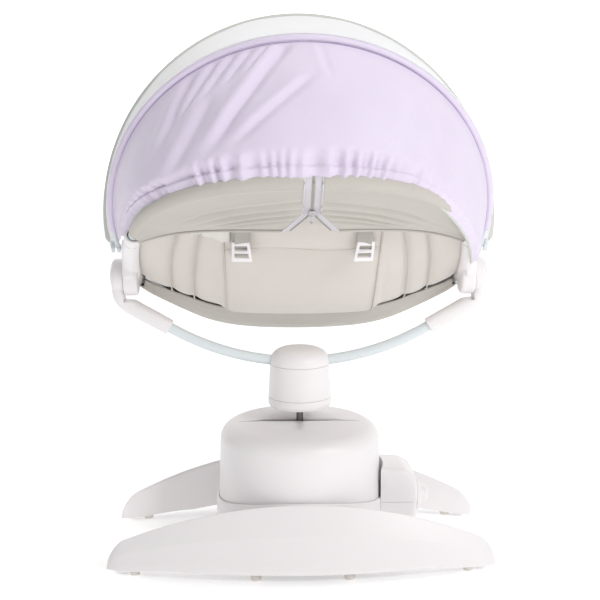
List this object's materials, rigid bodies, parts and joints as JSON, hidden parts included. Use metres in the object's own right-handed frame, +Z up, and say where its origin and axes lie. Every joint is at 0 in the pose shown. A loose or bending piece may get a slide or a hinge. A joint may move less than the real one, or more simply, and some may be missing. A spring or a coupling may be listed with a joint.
{
  "type": "baby swing",
  "caption": "Powered baby swing: round base on crescent feet, swaying U-shaped carrier, oval reclining sling seat, folding canopy.",
  "frame": {"origin": "under the middle of the swing's box, on the floor plane that the foot pads rest on", "axes": "+Z up, +Y towards the foot end of the seat, +X towards the side with the dial"},
  "size_m": [0.5652, 0.5833, 0.7987],
  "materials": {
    "white_shell": "moulded satin plastic, fine texture",
    "inner_plastic": "moulded matt plastic",
    "foot_rubber": "soft matt rubber",
    "bare_steel": "ground steel",
    "coated_tube": "pale powder-coated steel tube",
    "coil_copper": "enamelled copper winding",
    "circuit_board": "fibreglass board",
    "magnet_grey": "plated magnet and steel basket",
    "cover_knit": "stretch knit cover",
    "liner_knit": "padded brushed knit",
    "webbing": "woven webbing",
    "zip_metal": "cast zip slider",
    "lavender_satin": "satin-weave polyester, elastic hem",
    "roof_cloth": "plain pale canopy cloth"
  },
  "bodies": {
    "base": {"base_plate": "white_shell", "drum_cover": "white_shell", "lower_housing": "white_shell", "rear_foot": "white_shell", "rear_foot_pad_1": "foot_rubber", "rear_foot_pad_2": "foot_rubber", "rear_foot_pad_3": "foot_rubber", "rear_foot_pad_4": "foot_rubber", "front_foot": "white_shell", "front_foot_pad_1": "foot_rubber", "front_foot_pad_2": "foot_rubber", "front_foot_pad_3": "foot_rubber", "front_foot_pad_4": "foot_rubber", "side_pod": "white_shell", "power_jack": "inner_plastic", "battery_box": "inner_plastic", "battery_door": "white_shell", "door_screw": "bare_steel", "pivot_frame": "inner_plastic", "rear_bearing": "bare_steel", "front_bearing": "bare_steel", "return_spring": "bare_steel", "drive_coil": "coil_copper", "control_board": "circuit_board", "speaker": "magnet_grey"},
    "speed_knob": {"speed_knob": "white_shell"},
    "swing_arm": {"axle": "bare_steel", "swing_yoke": "inner_plastic", "magnet": "magnet_grey", "stem": "bare_steel", "slot_shield": "white_shell", "hub_ring": "white_shell", "hub_cup": "white_shell", "hub_dome": "white_shell", "left_carrier_arm": "coated_tube", "right_carrier_arm": "coated_tube", "left_elbow": "white_shell", "right_elbow": "white_shell"},
    "left_recline_button": {"left_recline_button": "white_shell"},
    "right_recline_button": {"right_recline_button": "white_shell"},
    "seat": {"left_bracket": "white_shell", "right_bracket": "white_shell", "back_ring_tube": "coated_tube", "front_ring_tube": "coated_tube", "back_cover": "cover_knit", "front_cover": "cover_knit", "seat_liner": "liner_knit", "left_shoulder_strap": "webbing", "right_shoulder_strap": "webbing", "crotch_strap": "webbing", "left_strap_adjuster": "white_shell", "right_strap_adjuster": "white_shell", "harness_buckle": "white_shell", "rear_bow": "coated_tube", "rear_panel": "lavender_satin", "roof_panel": "roof_cloth"},
    "buckle_button": {"buckle_button": "inner_plastic"},
    "zip_slider": {"zip_slider": "zip_metal"},
    "front_bow": {"front_bow": "coated_tube"}
  },
  "joints": [
    {"name": "swing", "type": "hinge", "parent": "base", "child": "swing_arm", "pos_m": [0, -0.0157, 0.085], "axis": [0, 1, 0], "range_deg": [-12, 12], "stiffness_Nm_per_rad": 40},
    {"name": "speed_dial", "type": "hinge", "parent": "base", "child": "speed_knob", "pos_m": [0.18, -0.0157, 0.075], "axis": [1, 0, 0], "range_deg": [0, 270]},
    {"name": "left_recline_press", "type": "slide", "parent": "swing_arm", "child": "left_recline_button", "axis": [1, 0, 0], "range_m": [0, 0.003], "stiffness_N_per_m": 400},
    {"name": "right_recline_press", "type": "slide", "parent": "swing_arm", "child": "right_recline_button", "axis": [-1, 0, 0], "range_m": [0, 0.003], "stiffness_N_per_m": 400},
    {"name": "seat_recline", "type": "hinge", "parent": "swing_arm", "child": "seat", "pos_m": [0, -0.0157, 0.412], "axis": [1, 0, 0], "range_deg": [0, 16]},
    {"name": "canopy_fold", "type": "hinge", "parent": "seat", "child": "front_bow", "pos_m": [0, -0.0357, 0.455], "axis": [1, 0, 0], "range_deg": [0, 38]},
    {"name": "buckle_press", "type": "slide", "parent": "seat", "child": "buckle_button", "axis": [0, 0, -1], "range_m": [0, 0.0025], "stiffness_N_per_m": 400},
    {"name": "zip_pull", "type": "slide", "parent": "seat", "child": "zip_slider", "axis": [0, -0.7999, 0.6002], "range_m": [0, 0.036]}
  ]
}
